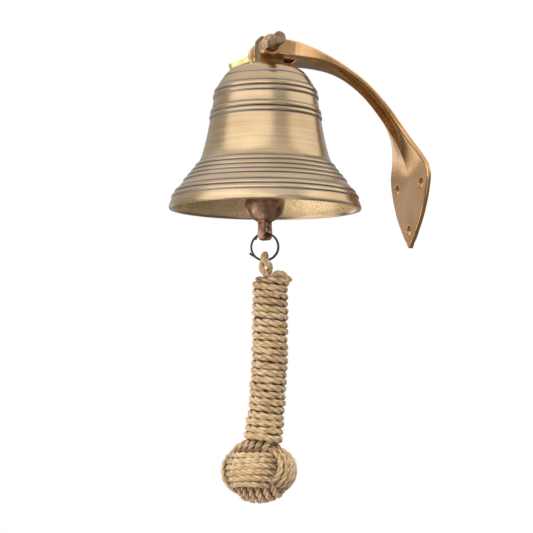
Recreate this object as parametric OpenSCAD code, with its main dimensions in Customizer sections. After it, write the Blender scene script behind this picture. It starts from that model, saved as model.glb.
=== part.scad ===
// Wall-mounted ship bell: cast bell swinging on a forked wall bracket, rung by a rope bell-pull.
// The wall plane is Y = 0, the room is towards -Y, +Z is up and the hinge pin lies along X.
// The origin is midway between the two upper screw holes, on the wall.
// Heights with "above the lip" are measured from the bell's mouth; lip_z places the mouth.

/* [Bell] */
// Outside diameter of the bell's mouth
mouth_d = 150; // [140:1:160]
// Wall thickness of the casting
bell_wall = 3.4; // [3:0.1:4.5]
// How far the turned beads stand out
bead_rise = 1.1; // [0.6:0.1:1.4]
// Diameter of the seat boss on the crown
boss_d = 25; // [24:0.5:30]

/* [Bracket] */
// Distance from the wall to the bell's axis
reach = 124; // [124:0.5:126]
// Height of the hinge pin above the lip
pin_height = 126.5; // [126:0.1:127]
// Width of the fork across its two ears
fork_w = 37; // [35:0.5:40]
// Gap between the ears
slot_w = 15; // [15:0.1:16]
// Radius of the ears' round ends
ear_r = 8.2; // [8:0.1:9]
// Thickness of the wall plate
plate_t = 4; // [3.5:0.1:5]
// Diameter of the screw holes
screw_hole_d = 8.4; // [5:0.1:9]
// Spacing of the two upper screw holes
screw_spacing = 49; // [44:0.5:52]
// Drop from the upper holes to the lower one
screw_drop = 35.8; // [32:0.1:38]

/* [Pin and wing nut] */
// Diameter of the hinge pin
pin_d = 9.8; // [9:0.1:10]
// How far the plain end stands out beyond its ear
pin_stub = 20; // [10:0.5:24]
// Thread pitch of the pin and the wing nut
thread_pitch = 1.5; // [1:0.25:1.75]
// Distance from the nut's axis to the middle of a wing's lobe
wing_reach = 16; // [14:0.5:17]
// Angle of the wings below the level
wing_tilt = 18; // [0:1:35]

/* [Clapper] */
// Diameter of the clapper's ball
ball_d = 31; // [28:0.5:32]
// Height of the ball's centre above the lip
ball_height = 5.3; // [3:0.1:8]
// Height of the eye bolt's eye above the lip
eye_height = 90; // [88:0.5:92]
// Wire diameter of the split ring
ring_wire = 1.6; // [1.4:0.1:1.8]
// Radius of the split ring to the middle of its wire
ring_r = 10.6; // [10:0.1:12]

/* [Rope pull] */
// Outside diameter of the wound handle
handle_d = 28.6; // [26:0.2:32]
// Length of the wound handle
handle_len = 125; // [100:1:140]
// Width of the ball knot
knot_d = 58; // [50:1:62]
// Height of the ball knot
knot_h = 50; // [44:1:56]
// Diameter of the rope
rope_d = 5.8; // [5:0.1:6.5]

/* [Hidden] */
$fn = 72;

// Colours
bracket_brass = [0.66, 0.46, 0.31];
dark_brass = [0.42, 0.30, 0.20];
bell_brass = [0.78, 0.66, 0.44];
raw_brass = [0.86, 0.74, 0.30];
bronze = [0.36, 0.25, 0.19];
black_bronze = [0.16, 0.12, 0.10];
steel = [0.60, 0.60, 0.58];
jute = [0.76, 0.65, 0.47];
wood = [0.70, 0.55, 0.36];

// Places
lip_z = -23.2;              // the mouth's height below the upper screw holes
running_gap = 0.08;         // radial clearance of a turning fit
half_fork = fork_w / 2;
pin_r = pin_d / 2;
crown_top = 112.0;          // where the dome meets the boss
boss_top = 114.2;
crown_inside = 107.8;       // the flat seat under the crown

module at_bell(height = 0) {
    translate([0, -reach, lip_z + height]) children();
}

module along_x() {
    rotate([0, 90, 0]) children();
}
module along_y() {
    rotate([90, 0, 0]) children();
}

// A smooth curve through [position, value] keys, with level ends
function key_slope(keys, i) =
    i == 0 || i == len(keys) - 1 ? 0
    : (keys[i + 1][1] - keys[i - 1][1]) / (keys[i + 1][0] - keys[i - 1][0]);
function key_index(keys, p, i = 0) =
    i >= len(keys) - 2 || p < keys[i + 1][0] ? i : key_index(keys, p, i + 1);
function hermite(a, b, slope_a, slope_b, span, t) =
    a * (1 + 2 * t) * pow(1 - t, 2) + b * t * t * (3 - 2 * t)
    + span * (slope_a * t * pow(1 - t, 2) - slope_b * t * t * (1 - t));
function smooth(keys, p) =
    let (i = key_index(keys, p),
         span = keys[i + 1][0] - keys[i][0],
         t = max(0, min(1, (p - keys[i][0]) / span)))
    hermite(keys[i][1], keys[i + 1][1], key_slope(keys, i), key_slope(keys, i + 1), span, t);
function bezier(p, t) =
    pow(1 - t, 3) * p[0] + 3 * pow(1 - t, 2) * t * p[1] + 3 * (1 - t) * t * t * p[2]
    + pow(t, 3) * p[3];

// ---- Wall bracket -------------------------------------------------------------------------
// The back of the arm follows one curve from the fork's top, out to the wall and down it.
// Places along it run from 0 at the fork to 1 where the curve meets the plate, and to 2 at the tip.
arm_curve = [[-reach, 131.6], [-reach + 77, 133.4], [0, 70], [0, 25]];
plate_tip = -26.5;
arm_steps = 46;
tip_steps = 14;
function arm_place(s) =
    s <= 1 ? bezier(arm_curve, s) : [0, arm_curve[3][1] + (plate_tip - arm_curve[3][1]) * (s - 1)];
function arm_heading(s) =
    let (d = arm_place(min(s + 0.01, 2)) - arm_place(s - 0.01)) d / norm(d);

// Keys along the arm: half width, edge thickness, depth at the keel and the keel's half width
arm_width = [[0, 18.2], [0.07, 18], [0.15, 14.2], [0.22, 11.2], [0.32, 9.6], [0.45, 9.2],
    [0.58, 9.9], [0.68, 12.4], [0.76, 17.6], [0.84, 27], [0.91, 35.4], [0.96, 37.6], [1, 36.8],
    [1.23, 32.2], [1.5, 24.5], [1.7, 16.2], [1.87, 8], [2, 0.7]];
arm_edge = [[0, 12.4], [0.1, 12.2], [0.27, 4.6], [0.36, 3.9], [1, plate_t], [2, plate_t]];
arm_depth = [[0, 12.4], [0.12, 12], [0.3, 8.3], [0.45, 7.7], [0.6, 8.2], [0.75, 6.9],
    [0.95, plate_t + 0.1], [1, plate_t], [2, plate_t]];
keel_share = [[0, 1], [0.13, 0.98], [0.22, 0.66], [0.32, 0.24], [0.5, 0.12], [1, 0.02], [2, 0.02]];
edge_break = 0.7;           // chamfer along the arm's long edges
flank_steps = 5;

// One side of a section, from the back corner round to the keel: [across, depth]
function half_section(s) =
    let (w = smooth(arm_width, s), e = smooth(arm_edge, s), d = max(e, smooth(arm_depth, s)),
         c = min(edge_break, w / 3), k = min(w * smooth(keel_share, s), 0.97 * (w - c)),
         hollow = k + 0.45 * (w - c - k))
    concat([[w - c, 0], [w, c], [w, e - c]],
        [for (i = [0 : flank_steps]) let (t = i / flank_steps)
            pow(1 - t, 2) * [w - c, e] + 2 * t * (1 - t) * [hollow, e] + t * t * [k, d]]);
function arm_section(s) =
    let (half = half_section(s), back = arm_place(s), h = arm_heading(s), inward = [h[1], -h[0]])
    [for (side = [1, -1]) for (i = [0 : len(half) - 1])
        let (p = half[side == 1 ? i : len(half) - 1 - i], q = back + p[1] * inward)
        [side * p[0], q[0], q[1]]];

// A closed skin over rings of equally many points
module skin(rings) {
    n = len(rings[0]);
    last = len(rings) - 1;
    sides = [for (i = [0 : last - 1]) for (j = [0 : n - 1])
        let (a = i * n + j, b = i * n + (j + 1) % n) each [[a, b + n, b], [a, a + n, b + n]]];
    caps = [[for (j = [0 : n - 1]) j], [for (j = [n - 1 : -1 : 0]) last * n + j]];
    polyhedron([for (ring = rings) each ring], concat(sides, caps), convexity = 6);
}

module arm() {
    stations = concat([for (i = [0 : arm_steps]) i / arm_steps],
        [for (i = [1 : tip_steps]) 1 + i / tip_steps]);
    translate([0, 0, lip_z]) skin([for (s = stations) arm_section(s)]);
}

module screw_hole() {
    along_y() cylinder(d = screw_hole_d, h = 30, center = true);
}

slot_root = 22.2;           // from the pin's axis to the root of the slot
module wall_bracket() {
    color(bracket_brass) difference() {
        union() {
            arm();
            at_bell(pin_height) along_x() cylinder(r = ear_r, h = fork_w, center = true);
        }
        at_bell(pin_height) {
            translate([0, slot_root - 25, 0]) cube([slot_w, 50, 50], center = true);
            along_x() cylinder(r = pin_r, h = fork_w + 2, center = true);
        }
        for (side = [-1, 1]) translate([side * screw_spacing / 2, 0, 0]) screw_hole();
        translate([0, 0, -screw_drop]) screw_hole();
    }
}

// ---- Hinge pin, washer and wing nut ---------------------------------------------------------
washer_t = 1.5;
nut_face = half_fork + 0.15 + washer_t;     // from the fork's middle to the nut's seat
nut_h = 11.5;
pin_tail = nut_face + nut_h + 3;            // the threaded end
thread_depth = 0.45;
module pivot_pin() {
    tip = half_fork + pin_stub;
    turns = floor((pin_tail - nut_face + 2) / thread_pitch);
    color(dark_brass) at_bell(pin_height) along_x() rotate_extrude() polygon(concat(
        [[0, -pin_tail]],
        [for (i = [0 : turns - 1]) let (x = -pin_tail + i * thread_pitch) each [
            [pin_r - thread_depth, x], [pin_r, x + 0.5 * thread_pitch]]],
        [[pin_r - thread_depth, -pin_tail + turns * thread_pitch],
         [pin_r, -pin_tail + turns * thread_pitch + thread_depth],
         [pin_r, tip - 0.8], [pin_r - 0.8, tip], [0, tip]]));
}

// A bead of brazing metal that locks the pin to the near ear
module pin_braze() {
    braze_arc = 130;
    color(steel) at_bell(pin_height) translate([half_fork, 0, 0]) along_x()
        rotate([0, 0, 180]) rotate_extrude(angle = braze_arc)
            polygon([[pin_r, 0], [pin_r + 2.2, 0], [pin_r + 1.5, 1.1], [pin_r + 0.6, 2.4], [pin_r, 3.2]]);
}

module nut_washer() {
    color(raw_brass) at_bell(pin_height) translate([-half_fork - 0.1 - washer_t, 0, 0]) along_x()
        difference() {
            cylinder(r = 9.2, h = washer_t);
            translate([0, 0, -1]) cylinder(r = pin_r + 0.3, h = washer_t + 2);
        }
}

// The nut's wings sweep away from the fork, so that they clear the bell's crown as it turns
lobe_r = 6;
lobe_out = 15.5;            // from the nut's seat to the middle of a lobe
wing_t = 4.4;
module wing_outline() {
    circle_at = [wing_reach, lobe_out];
    translate(circle_at) circle(r = lobe_r);
    polygon([[5.5, 1.5], [8.2, 2.5], [12.5, 5.6], [circle_at[0] + 4.2, circle_at[1] - 4.28],
        [circle_at[0] - 4.28, circle_at[1] + 4.2], [8.6, 13.4], [5.5, 10.5]]);
}
module wing_nut() {
    color(raw_brass) at_bell(pin_height) translate([-nut_face, 0, 0]) rotate([0, -90, 0])
        rotate([0, 0, -wing_tilt]) difference() {
            union() {
                rotate_extrude() polygon([[0, 0], [9, 0], [9, 1.6], [8.2, 3], [7.4, nut_h - 1],
                    [6.6, nut_h], [0, nut_h]]);
                for (side = [90, -90]) rotate([90, 0, side])
                    translate([0, 0, -wing_t / 2]) linear_extrude(wing_t) wing_outline();
            }
            translate([0, 0, -1]) cylinder(r = pin_r + running_gap, h = nut_h + 2);
        }
}

// ---- Hanger block ---------------------------------------------------------------------------
block_room_side = 7.2;      // from the pin's axis to the end that faces the room
block_wall_side = 12.5;     // and to the end that faces the wall
block_t = 14;
block_h = 21;
block_corner = 1.8;         // round upper corners
stud_r = 3;                 // the eye bolt's thread
stud_hole = 7.5;            // depth of its blind hole in the block
module block_outline() {
    length = block_room_side + block_wall_side;
    translate([-block_room_side, 0]) {
        square([length, block_h - block_corner]);
        translate([block_corner, 0]) square([length - 2 * block_corner, block_h]);
        for (y = [block_corner, length - block_corner]) translate([y, block_h - block_corner])
            circle(r = block_corner);
    }
}
module hanger_block() {
    color(dark_brass) difference() {
        at_bell(boss_top) rotate([90, 0, 90]) translate([0, 0, -block_t / 2])
            linear_extrude(block_t) block_outline();
        at_bell(pin_height) along_x()
            cylinder(r = pin_r + running_gap, h = block_t + 2, center = true);
        at_bell(boss_top) translate([0, 0, -1]) cylinder(r = stud_r, h = stud_hole + 1);
    }
}

// ---- Bell -----------------------------------------------------------------------------------
// Outside of the casting without its beads: [height above the lip, radius, radius per height]
bell_keys = [[0, mouth_d / 2 + 0.3, -0.3], [10.6, 71.2, -0.55], [23.2, 61.8, -0.8],
    [35.7, 52.3, -0.62], [46, 48.4, -0.28], [70, 43.4, -0.19], [88, 40.4, -0.2],
    [97.5, 37.2, -0.6], [106, 31.4, -0.85]];
shoulder = bell_keys[len(bell_keys) - 1];
function key_before(z, i = 0) =
    i >= len(bell_keys) - 2 || z < bell_keys[i + 1][0] ? i : key_before(z, i + 1);
function bell_r(z) =
    let (i = key_before(z), a = bell_keys[i], b = bell_keys[i + 1], span = b[0] - a[0])
    hermite(a[1], b[1], a[2], b[2], span, (z - a[0]) / span);
function bell_slope(z) = (bell_r(z + 0.1) - bell_r(z - 0.1)) / 0.2;

// Each row of beads is a list of the grooves on either side of them
bead_rows = [[8, 12.1, 15.8], [20.9, 24.5, 28.2, 32, 35.7], [69.8, 73.9, 78.1], [86.2, 90.5, 94.7]];
groove_height = 102.5;      // a single turned line round the shoulder
beads = [for (row = bead_rows) for (i = [0 : len(row) - 2]) [row[i], row[i + 1]]];
function bead_at(z) =
    let (over = [for (b = beads) if (z > b[0] && z < b[1]) b])
    len(over) == 0 ? 0
    : bead_rise * pow(sin(180 * (z - over[0][0]) / (over[0][1] - over[0][0])), 0.6);
function groove_at(z) = -0.5 * max(0, 1 - abs(z - groove_height) / 0.6);
function outer_point(z) = [bell_r(z) + bead_at(z) + groove_at(z), z];
function inner_point(z) =
    let (m = bell_slope(z), n = norm([1, m])) [bell_r(z) - bell_wall / n, z + bell_wall * m / n];

bead_shares = [0, 0.06, 0.18, 0.34, 0.5, 0.66, 0.82, 0.94];
function plain_heights(from, to, step) =
    let (n = ceil((to - from) / step)) [for (i = [0 : n - 1]) from + (to - from) * i / n];
function row_heights(row) =
    [for (i = [0 : len(row) - 2]) for (share = bead_shares) row[i] + share * (row[i + 1] - row[i])];
outer_heights = concat(
    plain_heights(1.2, bead_rows[0][0], 2.3), row_heights(bead_rows[0]),
    plain_heights(15.8, bead_rows[1][0], 2.6), row_heights(bead_rows[1]),
    plain_heights(35.7, bead_rows[2][0], 2.6), row_heights(bead_rows[2]),
    plain_heights(78.1, bead_rows[3][0], 2.7), row_heights(bead_rows[3]),
    plain_heights(94.7, groove_height - 0.6, 1.8),
    [groove_height - 0.6, groove_height, groove_height + 0.6, 104.4]);

dome = [[shoulder[1], shoulder[0]], [29, 108.9], [24, crown_top], [boss_d / 2, crown_top]];
inner_dome = [[27.6, 102.6], [24, 106.2], [18, crown_inside], [8, crown_inside]];
hole_in_crown = stud_r + 0.2;
module bell_body() {
    outer = concat([for (z = outer_heights) outer_point(z)],
        [for (i = [0 : 8]) bezier(dome, i / 8)],
        [[boss_d / 2, boss_top - 0.5], [boss_d / 2 - 0.5, boss_top], [0, boss_top]]);
    inner = concat([[0, crown_inside]], [for (i = [8 : -1 : 0]) bezier(inner_dome, i / 8)],
        [for (z = [100 : -2.5 : 5]) inner_point(z)],
        [[mouth_d / 2 - bell_wall - 0.6, 1], [mouth_d / 2 - bell_wall, 0], [mouth_d / 2 - 0.6, 0]]);
    color(bell_brass) at_bell() difference() {
        rotate_extrude($fn = 144) polygon(concat(outer, inner));
        translate([0, 0, 100]) cylinder(r = hole_in_crown, h = 20);
    }
}

// ---- Clapper hardware inside the crown ---------------------------------------------------------
eye_r = 6;
eye_wire_r = 2;
module eye_bolt() {
    stem_top = boss_top + stud_hole - 0.5;
    color(dark_brass) at_bell() {
        difference() {
            translate([0, 0, eye_height + eye_r]) cylinder(r = stud_r, h = stem_top - eye_height - eye_r);
            translate([0, 0, eye_height]) along_y() cylinder(r = eye_r, h = 20, center = true);
        }
        translate([0, 0, eye_height]) along_y() rotate_extrude() translate([eye_r, 0])
            circle(r = eye_wire_r, $fn = 32);
    }
}
crown_washer_t = 1.6;
crown_nut_t = 5;
module crown_washer() {
    color(steel) at_bell(crown_inside - crown_washer_t) difference() {
        cylinder(r = 7.5, h = crown_washer_t);
        translate([0, 0, -1]) cylinder(r = stud_r, h = 4);
    }
}
module crown_nut() {
    color(steel) at_bell(crown_inside - crown_washer_t - crown_nut_t) difference() {
        cylinder(r = 5.8, h = crown_nut_t, $fn = 6);
        translate([0, 0, -1]) cylinder(r = stud_r, h = crown_nut_t + 2);
    }
}

// The link hangs on the eye's lowest wire, and the clapper's rod hangs on the link's
link_r = 6.4;
link_wire_r = 1.5;
link_z = eye_height - eye_r - link_r + eye_wire_r + link_wire_r + 0.2;
link_low = link_z - link_r;
rod_eye_r = 4.6;
rod_wire_r = 1.9;
rod_eye_z = link_low - rod_eye_r + link_wire_r + rod_wire_r + 0.2;
module clapper_link() {
    color(bronze) at_bell(link_z) along_x() rotate_extrude() translate([link_r, 0])
        circle(r = link_wire_r, $fn = 32);
}
rod_r = 3.2;
module clapper_rod() {
    ball_top = ball_height + ball_d / 2;
    color(bronze) at_bell() {
        translate([0, 0, rod_eye_z]) along_y() rotate_extrude() translate([rod_eye_r, 0])
            circle(r = rod_wire_r, $fn = 32);
        difference() {
            translate([0, 0, ball_top - 8]) cylinder(r = rod_r, h = rod_eye_z - rod_eye_r - ball_top + 8);
            translate([0, 0, rod_eye_z]) along_y() cylinder(r = rod_eye_r, h = 20, center = true);
        }
    }
}

// Cast ball with a drilled tail lug, turned between the pin's direction and the wall's
lug_turn = 45;
lug_w = 13;
lug_t = 6;
lug_hole_z = -17.2;
lug_hole_r = 3.9;
lug_low = -23.7;
module clapper_ball() {
    color(bronze) at_bell() difference() {
        union() {
            translate([0, 0, ball_height]) sphere(d = ball_d);
            translate([0, 0, ball_height + ball_d / 2 - 1.2]) cylinder(r = 5.2, h = 3.4);
            rotate([0, 0, lug_turn]) rotate([90, 0, 90]) translate([0, 0, -lug_t / 2])
                linear_extrude(lug_t) union() {
                    translate([-lug_w / 2, lug_low + 4]) square([lug_w, -lug_low]);
                    translate([-lug_w / 2 + 4, lug_low]) square([lug_w - 8, 6]);
                    for (side = [-1, 1]) translate([side * (lug_w / 2 - 4), lug_low + 4]) circle(r = 4);
                }
        }
        rotate([0, 0, lug_turn]) translate([0, 0, lug_hole_z]) along_x()
            cylinder(r = lug_hole_r, h = lug_w, center = true);
        translate([0, 0, ball_height + ball_d / 2 - 8]) cylinder(r = rod_r, h = 20);
    }
}

// ---- Split ring and rope pull --------------------------------------------------------------------
// ring_turn is the direction of the ring's plane round the bell's axis
ring_turn = 65;
ring_top = -18.1;           // height of the wire where it passes through the lug
ring_z = ring_top - ring_r;
coil_step = ring_wire / 2 + 0.05;
module wire_coil(start, sweep) {
    rotate([0, 0, start]) rotate_extrude(angle = sweep) translate([ring_r, 0])
        circle(r = ring_wire / 2, $fn = 24);
}
module split_ring() {
    color(black_bronze) at_bell(ring_z) rotate([0, 0, ring_turn]) along_y() {
        translate([0, 0, coil_step]) wire_coil(0, 360);
        translate([0, 0, -coil_step]) wire_coil(-160, 310);
    }
}

becket_z = ring_z - ring_r - 0.9;   // centre of the rope's bend over the ring
becket_r = 5.3;
becket_rope_r = 2.8;
becket_tuck = 2;            // how far the becket's legs run into the handle
handle_top = -52.5;
handle_tilt = 2.4;          // the worked handle hangs a little out of straight
handle_shift = 4.8;         // its top lies this far towards the wall from the plumb line
knot_shift = -3.5;
knot_z = -199.5;
module becket_loop() {
    color(jute) at_bell() rotate([0, 0, ring_turn]) {
        translate([0, 0, becket_z]) along_x() rotate([0, 0, 90]) rotate_extrude(angle = 180)
            translate([becket_r, 0]) circle(r = becket_rope_r, $fn = 24);
        for (side = [-1, 1]) translate([0, side * becket_r, handle_top - becket_tuck])
            cylinder(r = becket_rope_r, h = becket_z - handle_top + becket_tuck, $fn = 24);
    }
}

module at_handle() {
    at_bell(handle_top) translate([0, handle_shift, 0]) rotate([-handle_tilt, 0, 0]) children();
}
core_r = 8.6;
module handle_core() {
    color(jute) at_handle() translate([0, 0, -handle_len]) cylinder(r = core_r, h = handle_len);
}
module handle_wrap() {
    edge = rope_d / 2;
    color(jute) at_handle() translate([0, 0, -handle_len]) rotate_extrude() difference() {
        union() {
            translate([0, edge]) square([handle_d / 2, handle_len - 2 * edge]);
            square([handle_d / 2 - edge, handle_len]);
            for (z = [edge, handle_len - edge]) translate([handle_d / 2 - edge, z]) circle(r = edge);
        }
        translate([-1, -1]) square([core_r + 1, handle_len + 2]);
    }
}
knot_core_r = 15;
module at_knot() {
    at_bell(knot_z) translate([0, knot_shift, 0]) children();
}
module knot_core() {
    color(wood) at_knot() sphere(r = knot_core_r);
}
module knot_wrap() {
    steps = 30;
    color(jute) difference() {
        at_knot() rotate_extrude() polygon(concat([[0, -knot_h / 2]],
            [for (i = [1 : steps - 1]) let (a = -90 + 180 * i / steps)
                [knot_d / 2 * cos(a), knot_h / 2 * sin(a)]],
            [[0, knot_h / 2]]));
        at_knot() sphere(r = knot_core_r);
        at_handle() translate([0, 0, -handle_len]) cylinder(d = handle_d + 0.2, h = handle_len);
    }
}

wall_bracket();
pivot_pin();
pin_braze();
nut_washer();
wing_nut();
hanger_block();
bell_body();
eye_bolt();
crown_washer();
crown_nut();
clapper_link();
clapper_rod();
clapper_ball();
split_ring();
becket_loop();
handle_core();
handle_wrap();
knot_core();
knot_wrap();
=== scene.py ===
# The looks of the wall-mounted ship bell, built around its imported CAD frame.
# Everything is in metres in the row frame: the wall is Y = 0, the room is towards -Y and +Z is up.
import math

import bmesh
import bpy
import numpy as np
from mathutils import Matrix, Vector, noise


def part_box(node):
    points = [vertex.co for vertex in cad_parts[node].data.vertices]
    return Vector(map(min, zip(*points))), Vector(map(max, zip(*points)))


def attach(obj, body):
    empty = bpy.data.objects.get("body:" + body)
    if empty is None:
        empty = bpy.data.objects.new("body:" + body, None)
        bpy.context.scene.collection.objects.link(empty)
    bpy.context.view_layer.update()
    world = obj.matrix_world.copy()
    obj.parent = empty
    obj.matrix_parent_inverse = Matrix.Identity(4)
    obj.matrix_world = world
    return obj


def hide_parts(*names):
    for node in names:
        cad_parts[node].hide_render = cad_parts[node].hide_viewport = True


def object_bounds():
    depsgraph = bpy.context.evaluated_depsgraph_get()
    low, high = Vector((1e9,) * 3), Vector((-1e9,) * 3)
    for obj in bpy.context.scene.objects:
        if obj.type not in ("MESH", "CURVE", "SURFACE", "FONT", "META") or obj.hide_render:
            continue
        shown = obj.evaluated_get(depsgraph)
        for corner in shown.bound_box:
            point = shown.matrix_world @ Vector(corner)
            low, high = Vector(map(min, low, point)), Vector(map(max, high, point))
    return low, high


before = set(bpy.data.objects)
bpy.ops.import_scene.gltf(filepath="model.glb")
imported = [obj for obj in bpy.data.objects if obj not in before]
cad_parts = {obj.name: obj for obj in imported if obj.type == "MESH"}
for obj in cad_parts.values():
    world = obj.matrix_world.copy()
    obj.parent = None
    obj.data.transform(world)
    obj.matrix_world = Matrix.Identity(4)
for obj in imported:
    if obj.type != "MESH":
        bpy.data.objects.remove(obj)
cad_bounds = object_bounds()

MM = 0.001
TURN = 2 * math.pi


# ---- Places, read from the CAD nodes ---------------------------------------------------------

BELL_LOW, BELL_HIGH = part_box("bell_body")
BELL_AXIS = Vector((0, (BELL_LOW.y + BELL_HIGH.y) / 2, 0))
LIP_Z = BELL_LOW.z

# The ring hangs in a plane turned this far from the hinge pin's direction
RING_TURN = math.radians(65)
RING_ALONG = Vector((math.cos(RING_TURN), math.sin(RING_TURN), 0))
RING_ACROSS = Vector((-math.sin(RING_TURN), math.cos(RING_TURN), 0))
UP = Vector((0, 0, 1))


# ---- Camera, floor and lights ----------------------------------------------------------------

# The camera stands off the pin's plain end, a little below the bell and looking up at it
CAMERA_AT = Vector((0.8207, -0.3516, -0.1197))
CAMERA_HEADING = Vector((-0.9636, 0.2672, 0))
CAMERA_PITCH = math.radians(3.528)
CAMERA_ROLL = math.radians(0.398)
CAMERA_LENS = 74.3          # millimetres, on a sensor 36 mm wide
CAMERA_SHIFT = 0.0035


def make_camera():
    data = bpy.data.cameras.new("camera")
    data.lens = CAMERA_LENS
    data.sensor_width = 36
    data.shift_x = CAMERA_SHIFT
    data.clip_start = 0.05
    camera = bpy.data.objects.new("camera", data)
    forward = CAMERA_HEADING * math.cos(CAMERA_PITCH) + UP * math.sin(CAMERA_PITCH)
    right = forward.cross(UP).normalized()
    upright = right.cross(forward)
    turn = Matrix((right, upright, -forward)).transposed()
    camera.matrix_world = (Matrix.Translation(CAMERA_AT) @ turn.to_4x4()
                           @ Matrix.Rotation(CAMERA_ROLL, 4, "Z"))
    bpy.context.scene.collection.objects.link(camera)
    bpy.context.scene.camera = camera


def make_light(name, turn, rise, far, size, radiance):
    """A soft box, turn degrees left of the camera as seen from the bell and rise degrees above the level."""
    data = bpy.data.lights.new(name, "AREA")
    data.shape = "RECTANGLE"
    data.size, data.size_y = size
    data.energy = radiance * math.pi * size[0] * size[1]
    bell = Vector((0, BELL_AXIS.y, LIP_Z + 0.04))
    level = math.atan2(CAMERA_AT.y - bell.y, CAMERA_AT.x) - math.radians(turn)
    up = math.radians(rise)
    away = Vector((math.cos(level) * math.cos(up), math.sin(level) * math.cos(up), math.sin(up)))
    light = bpy.data.objects.new(name, data)
    light.location = bell + away * far
    light.rotation_euler = (-away).to_track_quat("-Z", "Y").to_euler()
    bpy.context.scene.collection.objects.link(light)


# How bright the room is: (height from straight below, 0, to straight above, 1; grey)
ROOM_GREYS = ((0.30, 0.25), (0.47, 0.54), (0.72, 0.55), (0.88, 0.98))


def make_world():
    """White behind the object, and for what it reflects a grey room that is darker low down."""
    world = bpy.data.worlds.new("studio")
    bpy.context.scene.world = world
    world.use_nodes = True
    tree = world.node_tree
    tree.nodes.clear()
    out = tree.nodes.new("ShaderNodeOutputWorld")
    seen = tree.nodes.new("ShaderNodeBackground")
    seen.inputs["Color"].default_value = (1, 1, 1, 1)
    seen.inputs["Strength"].default_value = 1.0
    room = tree.nodes.new("ShaderNodeBackground")
    room.inputs["Strength"].default_value = 1.0
    where = tree.nodes.new("ShaderNodeTexCoord")
    split = tree.nodes.new("ShaderNodeSeparateXYZ")
    height = tree.nodes.new("ShaderNodeMapRange")
    height.inputs["From Min"].default_value = -1.0
    height.inputs["From Max"].default_value = 1.0
    ramp = tree.nodes.new("ShaderNodeValToRGB")
    elements = ramp.color_ramp.elements
    while len(elements) < len(ROOM_GREYS):
        elements.new(0.5)
    for element, (at, grey) in zip(elements, ROOM_GREYS):
        element.position = at
        element.color = (grey, grey, grey, 1)
    path = tree.nodes.new("ShaderNodeLightPath")
    mix = tree.nodes.new("ShaderNodeMixShader")
    link = tree.links.new
    link(where.outputs["Generated"], split.inputs[0])
    link(split.outputs["Z"], height.inputs["Value"])
    link(height.outputs["Result"], ramp.inputs["Fac"])
    link(ramp.outputs["Color"], room.inputs["Color"])
    link(path.outputs["Is Camera Ray"], mix.inputs["Fac"])
    link(room.outputs[0], mix.inputs[1])
    link(seen.outputs[0], mix.inputs[2])
    link(mix.outputs[0], out.inputs["Surface"])


FLOOR_DROP = 1.1            # the object hangs this far above the studio floor
FLOOR_SIZE = 12


def make_floor():
    """A pale floor that runs into the white behind the object, and throws little light back up."""
    bpy.ops.mesh.primitive_plane_add(size=FLOOR_SIZE, location=(0, 0, cad_bounds[0][2] - FLOOR_DROP))
    floor = bpy.context.object
    floor.name = "studio_floor"
    g = Shade("studio_floor", Roughness=0.95, Specular_IOR_Level=0.0, Emission_Color=(1, 1, 1, 1))
    grain = g.noise(g.place(), 3, 2)
    seen = g.put("LightPath").outputs["Is Camera Ray"]
    pale = g.ramp(grain, [(0.3, (0.90, 0.90, 0.89)), (0.7, (0.93, 0.93, 0.92))])
    g.colour(g.mix(seen, (0.22, 0.21, 0.20), pale))
    g.feed(g.shader.inputs["Emission Strength"], g.sums("MULTIPLY", seen, 0.8))
    floor.data.materials.append(g.material)


def light_the_scene():
    bpy.context.scene.view_settings.view_transform = "Standard"
    make_world()
    make_light("key", 36, 16, 1.35, (2.8, 1.7), 1.1)
    make_light("low", 88, -46, 1.1, (1.3, 0.9), 1.5)
    make_light("side", -92, 27, 1.3, (1.9, 0.9), 0.85)
    make_light("behind", 150, -10, 1.6, (0.7, 0.5), 0.8)
    make_light("glint", -30, -24, 1.2, (0.35, 0.7), 0.8)


# ---- Materials -------------------------------------------------------------------------------

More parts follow.
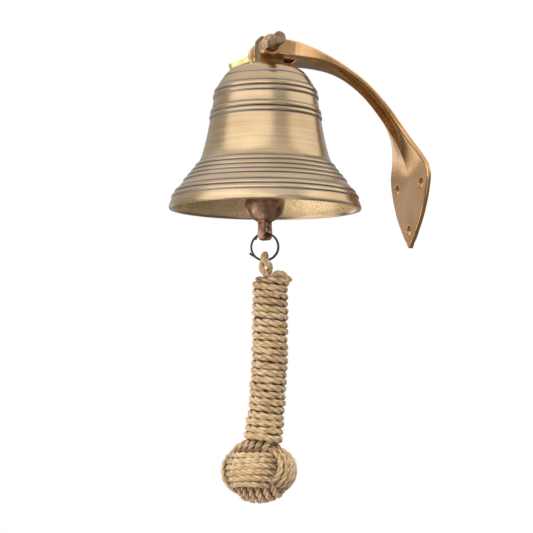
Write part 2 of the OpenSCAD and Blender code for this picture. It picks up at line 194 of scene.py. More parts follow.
class Shade:
    """One Principled material, its nodes made by short calls. The keywords set the shader's own sockets."""

    def __init__(self, name, **fixed):
        self.material = bpy.data.materials.new(name)
        self.material.use_nodes = True
        self.tree = self.material.node_tree
        self.shader = self.tree.nodes["Principled BSDF"]
        for socket, value in fixed.items():
            self.shader.inputs[socket.replace("_", " ")].default_value = value

    def feed(self, socket, value):
        if isinstance(value, bpy.types.NodeSocket):
            self.tree.links.new(value, socket)
        elif isinstance(value, tuple) and socket.type == "RGBA":
            socket.default_value = (*value, 1)
        else:
            socket.default_value = value

    def put(self, kind, inputs=None, **settings):
        made = self.tree.nodes.new("ShaderNode" + kind)
        for name, value in settings.items():
            setattr(made, name, value)
        for key, value in (inputs or {}).items():
            self.feed(made.inputs[key], value)
        return made

    def place(self):
        return self.put("TexCoord").outputs["Object"]

    def sums(self, operation, *values, clamp=False):
        return self.put("Math", dict(enumerate(values)), operation=operation, use_clamp=clamp).outputs[0]

    def vectors(self, operation, *values, out="Vector"):
        return self.put("VectorMath", dict(enumerate(values)), operation=operation).outputs[out]

    def stretched(self, where, scale):
        return self.vectors("MULTIPLY", where, scale)

    def noise(self, where, scale, detail=3, roughness=0.5):
        made = self.put("TexNoise", {"Vector": where, "Scale": scale, "Detail": detail,
                                     "Roughness": roughness})
        return made.outputs["Fac"]

    def spread(self, value, low, high, to_low=0.0, to_high=1.0, smooth=True):
        kind = "SMOOTHSTEP" if smooth else "LINEAR"
        made = self.put("MapRange", {"Value": value, "From Min": low, "From Max": high,
                                     "To Min": to_low, "To Max": to_high}, interpolation_type=kind)
        return made.outputs["Result"]

    def ramp(self, factor, stops):
        made = self.put("ValToRGB", {"Fac": factor})
        elements = made.color_ramp.elements
        while len(elements) < len(stops):
            elements.new(0.5)
        for element, (at, colour) in zip(elements, stops):
            element.position = at
            element.color = (*colour, 1)
        return made.outputs["Color"]

    def mix(self, factor, a, b, blend="MIX"):
        made = self.put("Mix", data_type="RGBA", blend_type=blend)
        self.feed(made.inputs["Factor"], factor)
        colours = [s for s in made.inputs if s.type == "RGBA"]
        self.feed(colours[0], a)
        self.feed(colours[1], b)
        return next(s for s in made.outputs if s.type == "RGBA")

    def colour(self, value):
        self.feed(self.shader.inputs["Base Color"], value)

    def roughness(self, value):
        self.feed(self.shader.inputs["Roughness"], value)

    def bump(self, height, distance, strength=1.0, under=None):
        inputs = {"Height": height, "Distance": distance, "Strength": strength}
        if under is not None:
            inputs["Normal"] = under
        normal = self.put("Bump", inputs).outputs["Normal"]
        self.feed(self.shader.inputs["Normal"], normal)
        return normal


# Heights of the bell's turned grooves above the lip, in millimetres
GROOVES = (8, 12.1, 15.8, 20.9, 24.5, 28.2, 32, 35.7, 69.8, 73.9, 78.1, 86.2, 90.5, 94.7, 102.5)
GROOVE_HALF = 1.15 * MM


def bell_brass():
    """Brushed round the bell, with dark patina left in the grooves and a rough casting inside."""
    g = Shade("bell_brass", Metallic=1.0)
    where = g.place()
    from_axis = g.vectors("SUBTRACT", where, tuple(BELL_AXIS + UP * LIP_Z))
    split = g.put("SeparateXYZ", {0: from_axis})
    height = split.outputs["Z"]

    dark = None
    for groove in GROOVES:
        gap = g.sums("ABSOLUTE", g.sums("SUBTRACT", height, groove * MM))
        line = g.spread(gap, GROOVE_HALF * 0.4, GROOVE_HALF, 1.0, 0.0)
        dark = line if dark is None else g.sums("MAXIMUM", dark, line)

    # The normal points away from the axis outside, and towards it inside
    normal = g.put("TexCoord").outputs["Normal"]
    level = g.vectors("MULTIPLY", from_axis, (1, 1, 0))
    outward = g.vectors("DOT_PRODUCT", normal, g.vectors("NORMALIZE", level), out="Value")
    inside = g.sums("MULTIPLY", g.spread(outward, 0.0, -0.1), g.spread(height, 1.0 * MM, 2.5 * MM))

    brush_fine = g.noise(g.stretched(from_axis, (30, 30, 3600)), 1, 2, 0.6)
    brush_wide = g.noise(g.stretched(from_axis, (14, 14, 700)), 1, 3, 0.6)
    cloud = g.noise(from_axis, 22, 3)
    tone = g.ramp(g.sums("ADD", g.sums("MULTIPLY", cloud, 0.6), g.sums("MULTIPLY", brush_wide, 0.4)),
                  [(0.35, (0.43, 0.295, 0.160)), (0.52, (0.54, 0.392, 0.232)), (0.68, (0.63, 0.485, 0.315))])
    patina = g.ramp(brush_wide, [(0.3, (0.16, 0.15, 0.16)), (0.7, (0.34, 0.30, 0.28))])
    outer = g.mix(g.sums("MULTIPLY", dark, 0.88), tone, patina)

    speck = g.noise(from_axis, 900, 3, 0.7)
    mottle = g.noise(from_axis, 60, 3)
    cast = g.mix(g.spread(speck, 0.42, 0.62), (0.90, 0.68, 0.40), (0.55, 0.34, 0.15))
    cast = g.mix(g.spread(mottle, 0.35, 0.80), cast, (0.94, 0.74, 0.46))
    g.colour(g.mix(inside, outer, cast))

    rough = g.spread(brush_fine, 0.25, 0.75, 0.20, 0.31, smooth=False)
    rough = g.sums("ADD", rough, g.sums("MULTIPLY", dark, 0.2))
    g.roughness(g.sums("MAXIMUM", rough, g.sums("MULTIPLY", inside, 0.5)))
    brushed = g.sums("MULTIPLY", brush_fine, g.sums("SUBTRACT", 1.0, inside))
    pitted = g.sums("MULTIPLY", speck, g.sums("MULTIPLY", inside, 2.5))
    g.bump(g.sums("ADD", brushed, pitted), 0.03 * MM, 0.9)
    return g.material


def satin_brass(name, pale, mid, dark, scale=45, smooth_rough=(0.30, 0.42), grain=(500, 500, 500),
                depth=0.02, patchy=0.5):
    """Polished cast brass with a clouded patina and fine scratches."""
    g = Shade(name, Metallic=1.0)
    where = g.place()
    cloud = g.noise(where, scale, 4, 0.55)
    patch = g.noise(where, scale * 0.35, 2)
    scratch = g.noise(g.stretched(where, grain), 1, 3, 0.65)
    base = g.ramp(cloud, [(0.30, dark), (0.50, mid), (0.70, pale)])
    base = g.mix(g.sums("MULTIPLY", g.spread(patch, 0.4, 0.75), patchy), base, mid)
    g.colour(g.mix(g.spread(scratch, 0.58, 0.75, 0.0, 0.12), base, dark))
    g.roughness(g.spread(g.sums("ADD", scratch, g.sums("MULTIPLY", cloud, 0.5)), 0.4, 1.0, *smooth_rough,
                         smooth=False))
    g.bump(scratch, depth * MM, 0.8)
    return g.material


def cast_bronze():
    """The clapper: dark coppery casting, worn bright where it was handled."""
    g = Shade("clapper_bronze", Metallic=1.0)
    where = g.place()
    blotch = g.noise(where, 110, 5, 0.6)
    pits = g.noise(where, 900, 3, 0.7)
    base = g.ramp(blotch, [(0.32, (0.15, 0.08, 0.05)), (0.5, (0.36, 0.21, 0.13)),
                           (0.68, (0.60, 0.39, 0.27))])
    g.colour(g.mix(g.spread(pits, 0.55, 0.72), base, (0.10, 0.06, 0.04)))
    g.roughness(g.spread(blotch, 0.3, 0.7, 0.52, 0.36, smooth=False))
    g.bump(g.sums("ADD", pits, g.sums("MULTIPLY", blotch, 2.0)), 0.10 * MM, 0.8)
    return g.material


def dark_wire():
    g = Shade("ring_bronze", Metallic=1.0)
    where = g.place()
    rub = g.noise(where, 700, 4, 0.6)
    g.colour(g.ramp(rub, [(0.35, (0.045, 0.03, 0.024)), (0.6, (0.12, 0.085, 0.065)),
                          (0.75, (0.28, 0.20, 0.15))]))
    g.roughness(g.spread(rub, 0.3, 0.7, 0.5, 0.32, smooth=False))
    g.bump(rub, 0.05 * MM, 0.6)
    return g.material


def braze_metal():
    g = Shade("braze_metal", Metallic=1.0)
    where = g.place()
    flow = g.noise(where, 800, 4, 0.6)
    g.colour(g.ramp(flow, [(0.38, (0.22, 0.13, 0.075)), (0.52, (0.50, 0.42, 0.33)),
                           (0.68, (0.80, 0.77, 0.72))]))
    g.roughness(g.spread(flow, 0.3, 0.7, 0.30, 0.5, smooth=False))
    g.bump(flow, 0.2 * MM, 0.8)
    return g.material


def bright_steel():
    g = Shade("hidden_steel", Metallic=1.0)
    where = g.place()
    turned = g.noise(g.stretched(where, (200, 200, 3000)), 1, 3)
    g.colour(g.ramp(turned, [(0.3, (0.42, 0.42, 0.41)), (0.7, (0.60, 0.60, 0.59))]))
    g.roughness(g.spread(turned, 0.3, 0.7, 0.25, 0.4, smooth=False))
    g.bump(turned, 0.01 * MM, 0.5)
    return g.material


def jute():
    """Rope fibres, with painted shade in the gaps between strands. The UV map runs along the strand in U, in
    metres, and round it in V.
    """
    g = Shade("jute_rope", Roughness=0.92, Sheen_Weight=0.25, Sheen_Roughness=0.6)
    uv = g.put("UVMap", uv_map="strand").outputs["UV"]
    where = g.place()
    split = g.put("SeparateXYZ", {0: uv})
    along, around = split.outputs["X"], split.outputs["Y"]
    # Fibres lie slantwise round each strand
    slant = g.sums("ADD", around, g.sums("MULTIPLY", along, 95.0))
    laid = g.put("CombineXYZ", {0: g.sums("MULTIPLY", along, 260.0), 1: g.sums("MULTIPLY", slant, 11.0)})
    fibre = g.noise(laid.outputs[0], 1.0, 5, 0.7)
    coarse = g.noise(g.put("CombineXYZ", {0: g.sums("MULTIPLY", along, 60.0),
                                          1: g.sums("MULTIPLY", slant, 3.0)}).outputs[0], 1.0, 3, 0.6)
    patch = g.noise(where, 95, 4, 0.6)
    tone = g.ramp(g.sums("ADD", g.sums("MULTIPLY", fibre, 0.6), g.sums("MULTIPLY", coarse, 0.4)),
                  [(0.36, (0.27, 0.13, 0.04)), (0.46, (0.60, 0.37, 0.16)), (0.54, (0.86, 0.62, 0.34)),
                   (0.64, (0.98, 0.87, 0.64))])
    tone = g.mix(g.spread(patch, 0.5, 0.75, 0.0, 0.6), tone, (0.52, 0.29, 0.10))
    tone = g.mix(g.spread(patch, 0.5, 0.25, 0.0, 0.5), tone, (0.95, 0.80, 0.54))
    # Painted shade: the colour turns dark brown where a vertex lies far into the gaps between strands and
    # turns, standing in for the shade there
    painted_gap_shade = g.put("Attribute", attribute_name="painted_gap_shade").outputs["Fac"]
    g.colour(g.mix(g.sums("MULTIPLY", painted_gap_shade, 0.9), tone, (0.17, 0.07, 0.02)))
    g.bump(g.sums("ADD", fibre, coarse), 0.35 * MM, 0.9)
    return g.material


# ---- Mesh helpers ----------------------------------------------------------------------------

def make_piece(name, vertices, faces, body, material, uvs=None, smooth=True):
    """A new mesh piece in the row frame, riding on a body."""
    mesh = bpy.data.meshes.new(name)
    mesh.from_pydata([tuple(v) for v in vertices], [], [tuple(f) for f in faces])
    if uvs is not None:
        layer = mesh.uv_layers.new(name="strand")
        layer.data.foreach_set("uv", np.asarray(uvs, float).ravel())
    mesh.validate()
    mesh.polygons.foreach_set("use_smooth", [smooth] * len(mesh.polygons))
    mesh.materials.append(material)
    piece = bpy.data.objects.new(name, mesh)
    bpy.context.scene.collection.objects.link(piece)
    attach(piece, body)
    return piece


def carried(points):
    """Directions along a path, and two across it that are carried along without twisting."""
    points = np.asarray(points, float)
    ahead = np.gradient(points, axis=0)
    ahead /= np.linalg.norm(ahead, axis=1, keepdims=True)
    across = np.zeros_like(ahead)
    first = np.cross(ahead[0], (0.3, 0.2, 0.93))
    across[0] = first / np.linalg.norm(first)
    for i in range(1, len(points)):
        side = across[i - 1] - ahead[i] * (across[i - 1] @ ahead[i])
        across[i] = side / np.linalg.norm(side)
    return ahead, across, np.cross(ahead, across)


def distances(points):
    steps = np.linalg.norm(np.diff(points, axis=0), axis=1)
    return np.concatenate([[0], np.cumsum(steps)])


def evened(points, step):
    """The same path with points every step."""
    points = np.asarray(points, float)
    far = distances(points)
    at = np.linspace(0, far[-1], max(3, int(round(far[-1] / step)) + 1))
    return np.stack([np.interp(at, far, points[:, k]) for k in range(3)], axis=1)


def curve_through(points, step):
    """A Catmull-Rom curve through given points."""
    p = np.asarray(points, float)
    p = np.concatenate([[2 * p[0] - p[1]], p, [2 * p[-1] - p[-2]]])
    out = []
    for a, b, c, d in zip(p[:-3], p[1:-2], p[2:-1], p[3:]):
        for t in np.linspace(0, 1, 16, endpoint=False):
            out.append(0.5 * ((2 * b) + (c - a) * t + (2 * a - 5 * b + 4 * c - d) * t * t
                              + (3 * b - a - 3 * c + d) * t ** 3))
    out.append(p[-2])
    return evened(out, step)


class Tubes:
    """Collects tubes into one mesh, with a UV map along and round each of them."""

    def __init__(self):
        self.vertices, self.faces, self.uvs, self.count = [], [], [], 0

    def add(self, points, radius, sides, yarns=0, yarn_depth=0.0, yarn_pitch=0.02, round_ends=True):
        points = np.asarray(points, float)
        far = distances(points)
        _, across, over = carried(points)
        angle = np.linspace(0, TURN, sides, endpoint=False)
        size = np.broadcast_to(np.asarray(radius, float), (len(points),)).copy()
        if round_ends:
            reach = size.mean()
            for end in (far, far[-1] - far):
                close = np.clip(end / reach, 0, 1)
                size = size * np.sqrt(np.clip(1 - (1 - close) ** 2, 0.02, 1))
        swell = 1 + yarn_depth * np.cos(yarns * (angle[None, :] - TURN * far[:, None] / yarn_pitch))
        r = size[:, None] * swell
        ring = (points[:, None] + across[:, None] * (r * np.cos(angle))[..., None]
                + over[:, None] * (r * np.sin(angle))[..., None])
        base = self.count
        self.vertices.extend(ring.reshape(-1, 3))
        self.count += len(points) * sides
        for i in range(len(points) - 1):
            for j in range(sides):
                k = (j + 1) % sides
                a, b = base + i * sides, base + (i + 1) * sides
                self.faces.append((a + j, a + k, b + k, b + j))
                u0, u1 = far[i], far[i + 1]
                v0, v1 = j / sides, (j + 1) / sides
                self.uvs.extend([(u0, v0), (u0, v1), (u1, v1), (u1, v0)])
        last = base + (len(points) - 1) * sides
        self.faces.append(tuple(range(base + sides - 1, base - 1, -1)))
        self.uvs.extend([(0.0, j / sides) for j in range(sides)])
        self.faces.append(tuple(range(last, last + sides)))
        self.uvs.extend([(far[-1], j / sides) for j in range(sides)])

    def piece(self, name, body, slot, material):
        return make_piece(name, self.vertices, self.faces, body, material, self.uvs)


def mark_painted_gap_shade(piece, depth, full):
    """Keeps how far into the work each vertex lies, from 0 outside to 1 where depth reaches full; the rope's
    colour uses it to paint shade into the gaps.
    """
    layer = piece.data.attributes.new("painted_gap_shade", "FLOAT", "POINT")
    layer.data.foreach_set("value", np.clip(depth / full, 0, 1).astype(np.float32))


STRAND_SHARE = 0.50         # a strand's radius as a share of the rope's
STRAND_SIDES = 12


def lay_rope(tubes, points, diameter, pitch, rng, strands=3, phase=0.0, step=1.1 * MM):
    """Three strands laid up round a path, each with its own yarns."""
    points = evened(points, step)
    far = distances(points)
    _, across, over = carried(points)
    radius = diameter / 2
    reach = radius * (1 - STRAND_SHARE)
    waver = 1 + 0.05 * np.sin(far / (0.9 * pitch) + rng.uniform(0, TURN))
    for strand in range(strands):
        turn = phase + TURN * (strand / strands + far / pitch)
        centre = (points + across * (reach * np.cos(turn) * waver)[:, None]
                  + over * (reach * np.sin(turn) * waver)[:, None])
        wobble = 1 + 0.04 * np.sin(far / (0.43 * pitch) + rng.uniform(0, TURN))
        tubes.add(centre, radius * STRAND_SHARE * wobble, STRAND_SIDES, yarns=4, yarn_depth=0.055,
                  yarn_pitch=-pitch * 1.6)


def add_fibres(tubes, places, outward, count, rng, length=(2.0, 5.0), thickness=0.055):
    """Loose hairs that stand out of the rope."""
    for _ in range(count):
        i = rng.integers(len(places))
        out = np.asarray(outward[i], float)
        side = np.cross(out, rng.normal(size=3))
        side /= np.linalg.norm(side)
        long = rng.uniform(*length) * MM
        lean = rng.uniform(0.15, 0.8)
        curl = rng.uniform(-0.6, 0.6)
        other = np.cross(out, side)
        s = np.linspace(0, 1, 5)[:, None]
        path = (places[i] + long * (side * s + out * lean * s * (1.3 - s) + other * curl * s * s))
        tubes.add(path, np.linspace(1, 0.35, 5) * thickness * MM, 3, round_ends=False)


# ---- CAD shapes with their faces made smooth -------------------------------------------------

def copy_of(node):
    """A welded copy of a CAD node's mesh."""
    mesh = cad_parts[node].data.copy()
    made = bmesh.new()
    made.from_mesh(mesh)
    bmesh.ops.remove_doubles(made, verts=made.verts, dist=0.002 * MM)
    made.to_mesh(mesh)
    made.free()
    if mesh.has_custom_normals:
        mesh.attributes.remove(mesh.attributes["custom_normal"])
    return mesh


def roughen(mesh, high, size):
    """Moves each vertex along its normal by a smooth random height."""
    count = len(mesh.vertices)
    places, normals = np.empty(count * 3), np.empty(count * 3)
    mesh.vertices.foreach_get("co", places)
    mesh.vertex_normals.foreach_get("vector", normals)
    places, normals = places.reshape(-1, 3), normals.reshape(-1, 3)
    rise = np.array([noise.fractal(p, 1.0, 2.0, 3) for p in places / size])
    mesh.vertices.foreach_set("co", (places + normals * (rise * high)[:, None]).ravel())
    mesh.update()


def refined(node, name, body, material, crease=35, voxel=None, soften=0, lumps=None):
    """Stands for a CAD node: the same shape with smooth shading, and where voxel is given with
    softened edges and lumps, as (height, size) in millimetres, that a casting has."""
    mesh = copy_of(node)
    mesh.name = name
    mesh.materials.clear()
    mesh.materials.append(material)
    piece = bpy.data.objects.new(name, mesh)
    bpy.context.scene.collection.objects.link(piece)
    if voxel:
        remesh = piece.modifiers.new("remesh", "REMESH")
        remesh.mode = "VOXEL"
        remesh.voxel_size = voxel * MM
        if soften:
            smooth = piece.modifiers.new("smooth", "SMOOTH")
            smooth.iterations = soften
            smooth.factor = 0.5
        bpy.context.view_layer.update()
        seen = bpy.context.evaluated_depsgraph_get()
        final = bpy.data.meshes.new_from_object(piece.evaluated_get(seen))
        piece.modifiers.clear()
        piece.data = final
        final.materials.clear()
        final.materials.append(material)
        if lumps:
            high, size = lumps
            roughen(final, high * MM, size * MM)
    mesh = piece.data
    mesh.polygons.foreach_set("use_smooth", [True] * len(mesh.polygons))
    if not voxel:
        mesh.set_sharp_from_angle(angle=math.radians(crease))
    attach(piece, body)
    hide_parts(node)
    return piece


# ---- Rope pull --------------------------------------------------------------------------------

ROPE = 5.8 * MM
ROPE_PITCH = 23 * MM
WRAP_LOW, WRAP_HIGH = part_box("handle_wrap")
KNOT_LOW, KNOT_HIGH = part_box("knot_wrap")
HANDLE_TILT = math.radians(2.4)
HANDLE_LENGTH = 125 * MM
HANDLE_BOW = 2.4 * MM          # the worked rope hangs straight, then leans over its lower third
HANDLE_R = (WRAP_HIGH.x - WRAP_LOW.x) / 2
HANDLE_DOWN = Vector((0, -math.sin(HANDLE_TILT), -math.cos(HANDLE_TILT)))
HANDLE_OUT = Vector((0, math.cos(HANDLE_TILT), -math.sin(HANDLE_TILT)))
HANDLE_MID = (WRAP_LOW + WRAP_HIGH) / 2
HANDLE_TOP = HANDLE_MID - HANDLE_DOWN * (HANDLE_LENGTH / 2)


def handle_bow(down):
    return HANDLE_BOW * math.sin(math.pi * min(1.0, max(0.0, down / HANDLE_LENGTH)) ** 1.35)


def on_handle(down, radius, angle):
    return (HANDLE_TOP + HANDLE_OUT * handle_bow(down) + HANDLE_DOWN * down
            + Vector((1, 0, 0)) * (radius * math.cos(angle)) + HANDLE_OUT * (radius * math.sin(angle)))


HEART = 16.5 * MM           # the thick strands inside the winding
HEART_PITCH = 55 * MM
HANDLE_TURNS = 22.75
SPIRAL_TURNS = 1.25         # flat turns on the handle's top
SPIRAL_STEPS = 30
FLARE_FROM = 17             # the last turns widen over the knot
STEPS_PER_TURN = 40
WAVERS_PER_TURN = 8


def handle_path(rng):
    """The rope's route: out from the middle of the top, down the handle, and in under the last turn."""
    radius = HANDLE_R - ROPE / 2
    drop = (HANDLE_LENGTH - ROPE + 5.2 * MM) / HANDLE_TURNS
    start = 0.4
    path = []
    for i in range(SPIRAL_STEPS):
        t = i / SPIRAL_STEPS
        path.append(on_handle(ROPE * 0.42, radius * (0.30 + 0.70 * t),
                              start + TURN * SPIRAL_TURNS * (t - 1)))
    waver = rng.normal(size=(2, int(HANDLE_TURNS * WAVERS_PER_TURN) + 3))
    for i in range(int(HANDLE_TURNS * STEPS_PER_TURN) + 1):
        t = i / STEPS_PER_TURN
        low, mix = divmod(t * WAVERS_PER_TURN, 1)
        push, slip = [w[int(low)] * (1 - mix) + w[int(low) + 1] * mix for w in waver]
        flare = 1.1 * MM * max(0.0, (t - FLARE_FROM) / 5) ** 2
        dive = 5 * MM * max(0.0, (t - HANDLE_TURNS + 0.4) / 0.4) ** 2
        path.append(on_handle(ROPE * 0.5 + drop * t + slip * 0.30 * MM,
                              radius + push * 0.30 * MM + flare - dive, start + TURN * t))
    return path


def make_handle(material):
    """One rope wound down the handle, from a flat spiral on its top, round a thick laid heart."""
    rng = np.random.default_rng(11)
    path = handle_path(rng)
    tubes = Tubes()
    lay_rope(tubes, np.array(path), ROPE, ROPE_PITCH, rng)
    heart = [on_handle(ROPE + t * (HANDLE_LENGTH - 2 * ROPE), 0, 0) for t in np.linspace(0, 1, 40)]
    lay_rope(tubes, np.array(heart), HEART, HEART_PITCH, rng, step=3 * MM)

    top, down_axis = np.array(HANDLE_TOP), np.array(HANDLE_DOWN)
    places, outward = [], []
    for p in path[SPIRAL_STEPS::3]:
        p = np.array(p)
        axis = top + down_axis * ((p - top) @ down_axis)
        out = (p - axis) / np.linalg.norm(p - axis)
        places.append(p + out * ROPE * 0.42)
        outward.append(out)
    add_fibres(tubes, places, outward, 900, rng, length=(1.5, 4.5), thickness=0.045)
    piece = tubes.piece("handle_winding", "pull", "jute_rope", material)
    from_top = np.array(tubes.vertices) - top
    down = from_top @ down_axis
    bow = np.array([handle_bow(d) for d in down])
    aside = from_top @ np.array(HANDLE_OUT) - bow
    # Painted shade for the gaps between the turns, by how far in each vertex lies
    mark_painted_gap_shade(piece, HANDLE_R - 0.7 * MM - np.hypot(from_top[:, 0], aside), ROPE * 0.34)
    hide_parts("handle_wrap", "handle_core")


KNOT_ROPE = 5.2 * MM
KNOT_PITCH = 17 * MM
KNOT_TURNS = 6
KNOT_STEPS = 64             # points in one turn
KNOT_SQUARE = 2.25          # 2 would make round turns, and more squarer ones
KNOT_CORNER = (0.36, -0.33, 0.87)   # to the camera's right, up and towards the camera
KNOT_BUNDLE_TURNS = (142, 262, 22)  # where the bundles lie round that corner, in degrees


def knot_axes():
    """Three square directions whose common corner faces KNOT_CORNER."""
    sight = -CAMERA_HEADING
    right = UP.cross(sight)
    corner = sum((d * k for d, k in zip((right, UP, sight), KNOT_CORNER)), Vector()).normalized()
    axes = []
    for turn in KNOT_BUNDLE_TURNS:
        a = math.radians(turn)
        side = right * math.cos(a) + UP * math.sin(a)
        side = (side - corner * side.dot(corner)).normalized()
        axes.append((corner * math.sqrt(1 / 3) + side * math.sqrt(2 / 3)).normalized())
    first = axes[0]
    second = (axes[1] - first * axes[1].dot(first)).normalized()
    third = first.cross(second)
    if third.dot(axes[2]) < 0:
        third = -third
    return [np.array(first), np.array(second), np.array(third)]


def make_knot(material):
    """A monkey's fist: three bundles of turns, each over one neighbour and under the other."""
    rng = np.random.default_rng(23)
    centre = np.array((KNOT_LOW + KNOT_HIGH) / 2)
    flat = (KNOT_HIGH.z - KNOT_LOW.z) / (KNOT_HIGH.x - KNOT_LOW.x)
    outer = (KNOT_HIGH.x - KNOT_LOW.x) / 2 - KNOT_ROPE / 2 + 0.6 * MM
    e1, e2, e3 = knot_axes()
    spacing = KNOT_ROPE * 0.97
    tubes = Tubes()
    places, outward = [], []
    # Each bundle: the way its turns face where they are on top, the way they dive, and its width
    for face, dive, width in ((e1, e3, e2), (e2, e1, e3), (e3, e2, e1)):
        path = []
        for i in range(KNOT_TURNS * KNOT_STEPS + 1):
            t = i / KNOT_STEPS
            a = TURN * t + 0.9
            shift = (t - KNOT_TURNS / 2) * spacing + 0.35 * MM * math.sin(3 * a + t)
            over = math.sqrt(max(outer ** 2 - 1.05 * shift ** 2, 1e-9))
            under = math.sqrt(max((outer - 1.02 * KNOT_ROPE) ** 2 - 0.75 * shift ** 2, 1e-9))
            c, s = math.cos(a), math.sin(a)
            bulge = (abs(c) ** KNOT_SQUARE + abs(s) ** KNOT_SQUARE) ** (-1 / KNOT_SQUARE)
            p = face * (over * c * bulge) + dive * (under * s * bulge) + width * shift
            p = p * np.array((1, 1, flat)) + centre
            path.append(p)
        path = np.array(path)
        lay_rope(tubes, path, KNOT_ROPE, KNOT_PITCH, rng)
        for p in path[::4]:
            out = (p - centre) / np.linalg.norm(p - centre)
            places.append(p + out * KNOT_ROPE * 0.42)
            outward.append(out)
    add_fibres(tubes, places, outward, 700, rng, length=(1.5, 4.5), thickness=0.045)
    piece = tubes.piece("ball_knot", "pull", "jute_rope", material)
    from_middle = (np.array(tubes.vertices) - centre) / np.array((1, 1, flat))
    # Painted shade for the gaps between the knot's turns, by how far in each vertex lies
    mark_painted_gap_shade(piece, outer + KNOT_ROPE / 2 - 1.2 * MM - np.linalg.norm(from_middle, axis=1),
               KNOT_ROPE * 0.42)
    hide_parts("knot_wrap")


BECKET_PITCH = 16 * MM
TAIL_ROPE = 5.4 * MM


def make_becket(material):
    """The eye of rope over the ring's bottom; its legs twist together into the handle."""
    rng = np.random.default_rng(5)
    bend = 4.4 * MM
    rope = 5.0 * MM
    centre_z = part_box("becket_loop")[1].z - rope / 2 - bend
    mid = np.array((0, BELL_AXIS.y, 0))
    along, across = np.array(RING_ALONG), np.array(RING_ACROSS)
    foot = HANDLE_TOP.z - 1.5 * MM
    lean = HANDLE_TOP.y - BELL_AXIS.y
    leg = []
    for t in np.linspace(1, 0, 16):
        z = foot + (centre_z - foot) * t
        turn = math.radians(90 + 230 * (1 - t))
        reach = bend * (0.56 + 0.44 * t ** 2)
        drift = np.array((0, lean * 0.45 * (1 - t), 0))
        leg.append((reach * math.cos(turn), reach * math.sin(turn), z, drift))
    path = []
    for x, y, z, drift in reversed(leg):
        path.append(mid + along * x + across * y + np.array((0, 0, z)) + drift)
    for t in np.linspace(0, math.pi, 14)[1:-1]:
        path.append(mid + across * (bend * math.cos(t)) + np.array((0, 0, centre_z + bend * math.sin(t))))
    for x, y, z, drift in leg:
        path.append(mid - along * x - across * y + np.array((0, 0, z)) + drift)
    tubes = Tubes()
    lay_rope(tubes, np.array(path), rope, BECKET_PITCH, rng, step=0.8 * MM)

    # The rope's tail comes up beside the eye, over the top and ends at the rim
    top = HANDLE_TOP
    tail = [top + Vector((0, 1.0, -4)) * MM, top + Vector((1.0, 2.5, 1.0)) * MM,
            top + Vector((2.0, 6.0, 3.3)) * MM, top + Vector((3.0, 10.0, 1.6)) * MM,
            top + Vector((3.2, 13.6, -1.6)) * MM, top + Vector((2.8, 15.4, -3.0)) * MM]
    lay_rope(tubes, curve_through([tuple(p) for p in tail], 0.9 * MM), TAIL_ROPE, BECKET_PITCH, rng)
    end = np.array(tail[-1])
    out = np.array(Vector((0, 0.9, -0.4)).normalized())
    add_fibres(tubes, [end - out * MM] * 3, [out] * 3, 40, rng, length=(1.0, 2.6), thickness=0.09)
    spots = np.array(path)[::2]
    add_fibres(tubes, spots + along * rope * 0.4, [along] * len(spots), 40, rng)
    piece = tubes.piece("becket_eye", "pull", "jute_rope", material)
    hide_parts("becket_loop")


def make_split_ring(material):
    """Nearly two coils of wire, sprung apart at their ends."""
    low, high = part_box("split_ring")
    centre = np.array((0, BELL_AXIS.y, (low.z + high.z) / 2))
    wire = 0.8 * MM
    radius = (high.z - low.z) / 2 - wire
    along, across = np.array(RING_ALONG), np.array(RING_ACROSS)
    first, last = 201, 865      # the wire's two ends, in degrees round the ring
    crossing = 520              # where it steps over from one coil to the other
    path = []
    for turn in np.arange(first, last + 1, 3.0):
        a = math.radians(turn)
        splay = max(0.0, 1 - (turn - first) / 38) ** 2 * 2.6 * MM
        tuck = max(0.0, 1 - (last - turn) / 34) ** 2 * 2.0 * MM
        cross = 1 / (1 + math.exp(-(turn - crossing) / 26))
        side = (cross * 2 - 1) * 0.85 * MM
        r = radius + splay - tuck
        path.append(centre + along * (r * math.cos(a)) - across * side + np.array(UP) * (r * math.sin(a)))
    tubes = Tubes()
    tubes.add(evened(path, 0.5 * MM), wire, 14)
    piece = tubes.piece("split_ring_wire", "ring", "ring_bronze", material)
    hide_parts("split_ring")


# ---- The whole object -------------------------------------------------------------------------

def wooden_core():
    g = Shade("core_wood", Roughness=0.6)
    rings = g.noise(g.stretched(g.place(), (400, 400, 40)), 1, 3)
    g.colour(g.ramp(rings, [(0.35, (0.42, 0.28, 0.15)), (0.65, (0.66, 0.50, 0.32))]))
    g.bump(rings, 0.05 * MM, 0.5)
    return g.material


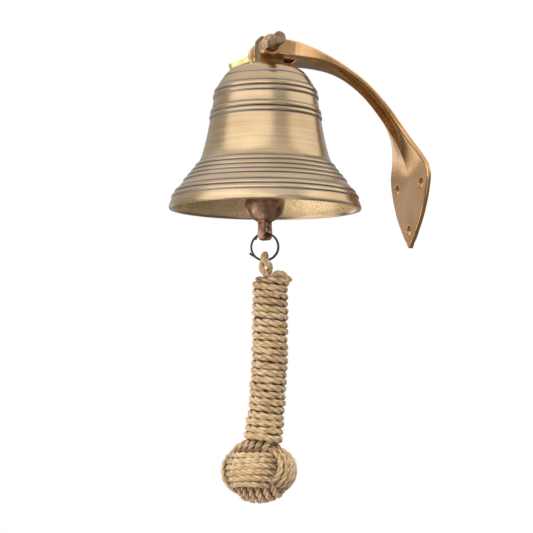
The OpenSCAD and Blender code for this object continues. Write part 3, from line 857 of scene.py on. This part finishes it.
def build():
    bracket = satin_brass("bracket_brass", (0.80, 0.52, 0.28), (0.66, 0.38, 0.17), (0.36, 0.17, 0.055),
                          scale=22, smooth_rough=(0.15, 0.22), grain=(60, 200, 200), depth=0.001)
    pin = satin_brass("pin_brass", (0.48, 0.35, 0.22), (0.33, 0.225, 0.13), (0.18, 0.11, 0.06),
                      scale=140, smooth_rough=(0.34, 0.46), depth=0.05)
    block = satin_brass("block_brass", (0.42, 0.25, 0.11), (0.29, 0.155, 0.06), (0.16, 0.08, 0.028),
                        scale=90, smooth_rough=(0.32, 0.44), depth=0.03)
    nut = satin_brass("nut_brass", (0.93, 0.78, 0.40), (0.85, 0.68, 0.30), (0.62, 0.45, 0.16),
                      scale=120, smooth_rough=(0.28, 0.38), depth=0.03)
    bell = bell_brass()
    bronze = cast_bronze()
    steel = bright_steel()
    rope = jute()

    refined("wall_bracket", "bracket_casting", "bracket", bracket, voxel=0.5, soften=9,
            lumps=(0.10, 26))
    refined("pivot_pin", "hinge_pin", "bracket", pin, crease=40)
    refined("pin_braze", "braze_bead", "bracket", braze_metal(), voxel=0.22, soften=2,
            lumps=(0.35, 1.4))
    refined("nut_washer", "brass_washer", "washer", nut, voxel=0.25, soften=2)
    refined("wing_nut", "wing_nut_casting", "wing_nut", nut, voxel=0.3, soften=6,
            lumps=(0.08, 5))
    refined("hanger_block", "hanger_casting", "bell", block, voxel=0.3, soften=5,
            lumps=(0.03, 5))
    refined("bell_body", "bell_casting", "bell", bell, crease=50)
    refined("eye_bolt", "eye_bolt_forging", "bell", pin, crease=40)
    refined("crown_washer", "steel_washer", "bell", steel)
    refined("crown_nut", "steel_nut", "bell", steel)
    refined("clapper_link", "link_forging", "link", bronze, crease=60)
    refined("clapper_rod", "rod_forging", "clapper", bronze, crease=45)
    refined("clapper_ball", "clapper_casting", "clapper", bronze, voxel=0.4, soften=6,
            lumps=(0.5, 9))
    refined("knot_core", "wooden_ball", "pull", wooden_core(), crease=60)
    make_split_ring(dark_wire())
    make_becket(rope)
    make_handle(rope)
    make_knot(rope)


make_camera()
make_floor()
light_the_scene()
build()
